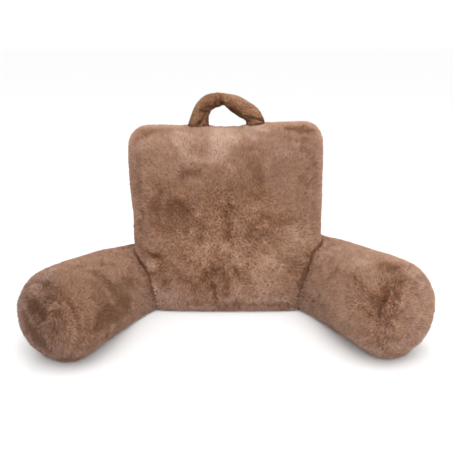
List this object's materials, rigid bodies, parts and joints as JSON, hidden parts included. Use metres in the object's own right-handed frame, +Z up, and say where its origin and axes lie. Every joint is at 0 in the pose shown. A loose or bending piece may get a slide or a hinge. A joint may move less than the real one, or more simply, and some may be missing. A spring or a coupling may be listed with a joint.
{
  "type": "reading pillow with arms",
  "caption": "Stuffed reading pillow in short-pile faux fur: a square wedge back, bolster arms that reach forward and a twisted carrying handle on top.",
  "frame": {"origin": "centre of the flat base of the back, on the surface that the pillow stands on", "axes": "+Z up, -Y towards the sitter, in front of the back and between the arms, +X to the right seen from the front"},
  "size_m": [0.8312, 0.5107, 0.4758],
  "materials": {
    "back_fur": "short-pile faux fur, taupe brown, matt",
    "arm_fur": "short-pile faux fur, taupe brown, matt",
    "handle_fur": "shorter-pile faux fur, brown, matt"
  },
  "bodies": {
    "root": {"back_cushion": "back_fur", "arm_left": "arm_fur", "arm_right": "arm_fur", "handle": "handle_fur"}
  },
  "joints": []
}
